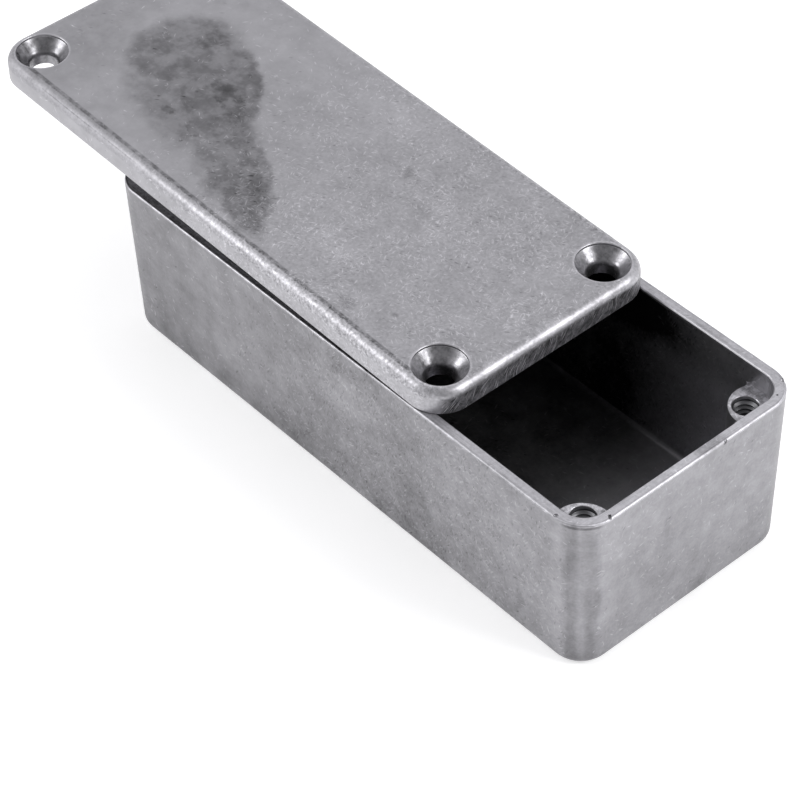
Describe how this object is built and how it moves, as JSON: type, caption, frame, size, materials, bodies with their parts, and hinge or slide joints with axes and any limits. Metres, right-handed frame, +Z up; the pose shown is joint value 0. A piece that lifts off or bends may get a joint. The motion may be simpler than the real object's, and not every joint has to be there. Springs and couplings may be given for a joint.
{
  "type": "die cast aluminium box",
  "caption": "Small die cast aluminium electronics box: a drafted open body with corner screw posts, and a loose countersunk lid that lies slid back on its rim.",
  "frame": {"origin": "centre of the box body's flat underside", "axes": "+Z up, X along the box's length with +X towards the end that the lid leaves open, Y across it"},
  "size_m": [0.1202, 0.0388, 0.0335],
  "materials": {
    "box_casting": "raw tumbled die casting, sanded rim",
    "lid_casting": "raw tumbled die casting"
  },
  "bodies": {
    "root": {"box": "box_casting", "lid": "lid_casting"}
  },
  "joints": []
}
